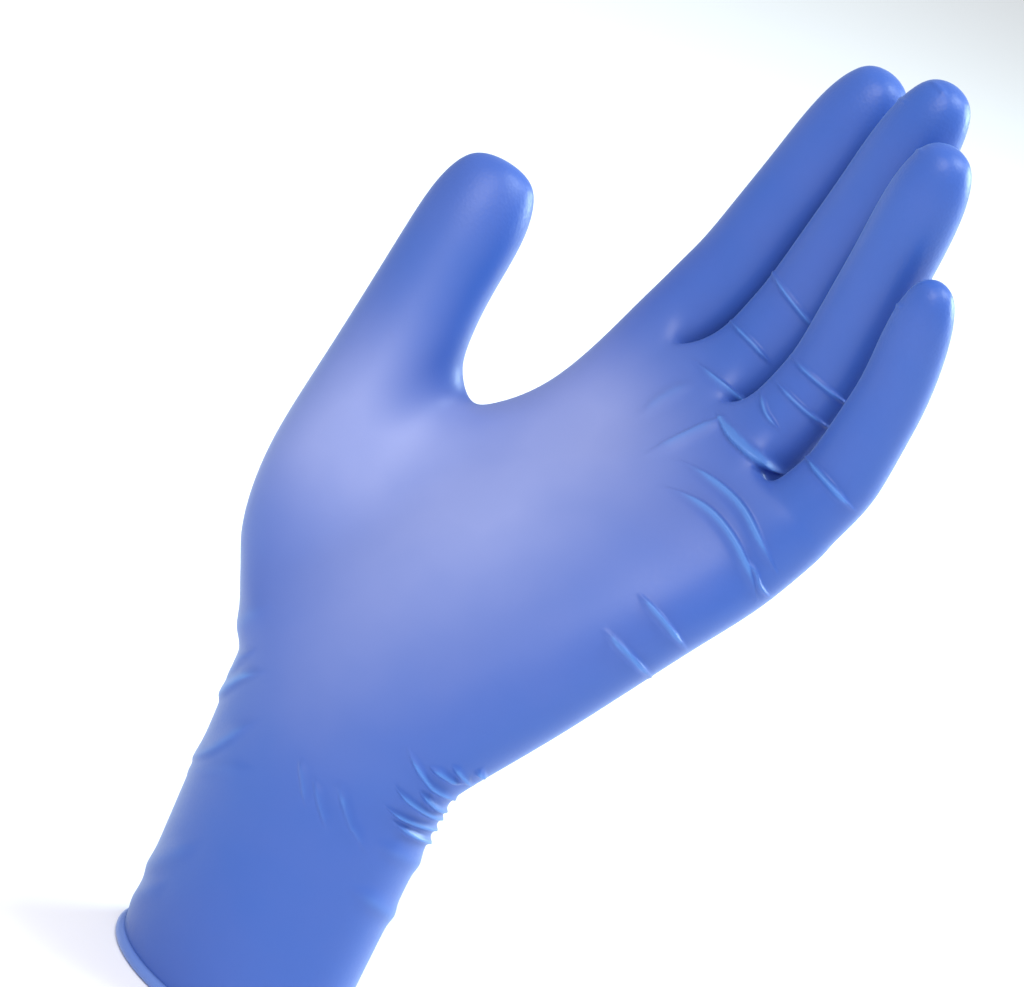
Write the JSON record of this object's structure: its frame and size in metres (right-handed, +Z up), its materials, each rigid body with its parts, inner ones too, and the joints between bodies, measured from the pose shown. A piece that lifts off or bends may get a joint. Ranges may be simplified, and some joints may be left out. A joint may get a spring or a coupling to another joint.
{
  "type": "nitrile exam glove",
  "caption": "Thin dipped nitrile exam glove in the form that it has when worn, with rolled cuff rim, palm open and fingers slightly curled.",
  "frame": {"origin": "centre of the cuff's opening, on the plane on which the rolled rim rests", "axes": "+Z up the cuff towards the fingers, palm facing -Y, thumb on the -X side, little finger on the +X side"},
  "size_m": [0.1101, 0.0913, 0.2254],
  "materials": {
    "nitrile_film": "satin"
  },
  "bodies": {
    "root": {"glove": "nitrile_film"}
  },
  "joints": []
}
